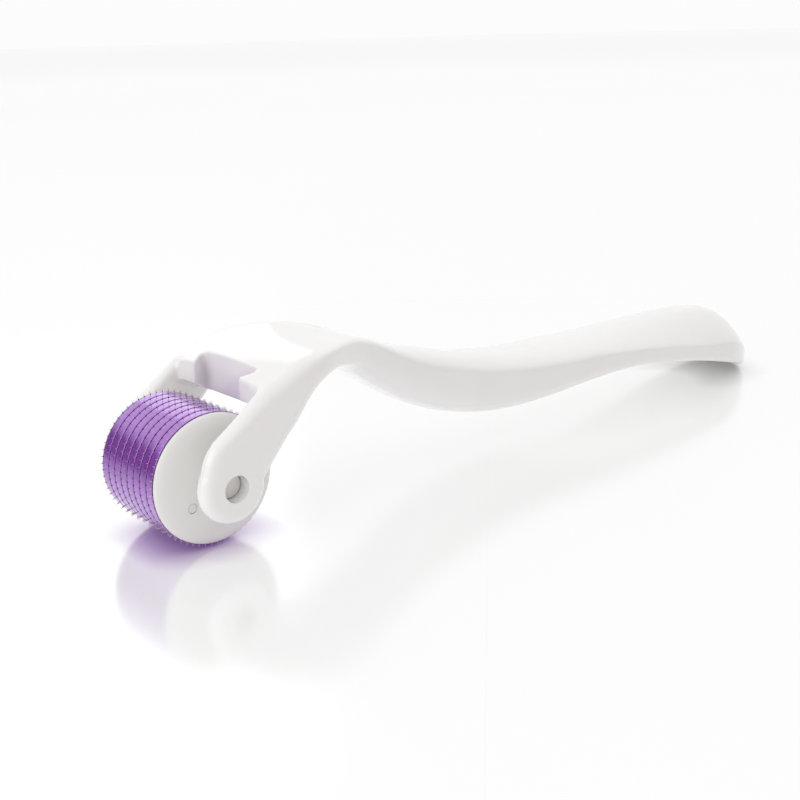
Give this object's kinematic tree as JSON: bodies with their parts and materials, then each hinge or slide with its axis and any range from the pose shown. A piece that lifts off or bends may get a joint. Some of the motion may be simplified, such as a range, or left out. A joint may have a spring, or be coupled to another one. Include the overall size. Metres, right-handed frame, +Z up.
{
  "type": "derma roller",
  "caption": "Hand-held skin roller: an S-curved plastic handle whose forked head holds a free-spinning drum of thin steel needle discs between translucent rings.",
  "frame": {"origin": "on the floor, under the middle of the object's length, on its symmetry plane, with the object resting on its needles and the tip of its tail", "axes": "+X from the drum towards the tail, +Y along the drum's spin axis, +Z up"},
  "size_m": [0.149, 0.028, 0.0272],
  "materials": {
    "white_plastic": "glossy white injection-moulded plastic with soft rounded edges",
    "cap_plastic": "semi-gloss white moulded plastic, a touch warmer than the handle",
    "violet_plastic": "clear violet tinted plastic, glossy, lets light through",
    "needle_steel": "thin etched stainless steel, bright needle tips",
    "core_plastic": "plain natural plastic, hidden inside the drum"
  },
  "bodies": {
    "handle": {"handle": "white_plastic"},
    "drum": {"end_cap_left": "cap_plastic", "end_cap_right": "cap_plastic", "needle_disc_1": "needle_steel", "needle_disc_2": "needle_steel", "needle_disc_3": "needle_steel", "needle_disc_4": "needle_steel", "needle_disc_5": "needle_steel", "needle_disc_6": "needle_steel", "needle_disc_7": "needle_steel", "needle_disc_8": "needle_steel", "needle_disc_9": "needle_steel", "spacer_ring_1": "violet_plastic", "spacer_ring_2": "violet_plastic", "spacer_ring_3": "violet_plastic", "spacer_ring_4": "violet_plastic", "spacer_ring_5": "violet_plastic", "spacer_ring_6": "violet_plastic", "spacer_ring_7": "violet_plastic", "spacer_ring_8": "violet_plastic", "drum_spindle": "core_plastic", "locating_pin_1": "cap_plastic", "locating_pin_2": "cap_plastic"}
  },
  "joints": [
    {"name": "drum_spin", "type": "hinge", "parent": "handle", "child": "drum", "pos_m": [-0.064, 0, 0.0105], "axis": [0, 1, 0], "continuous": true}
  ]
}
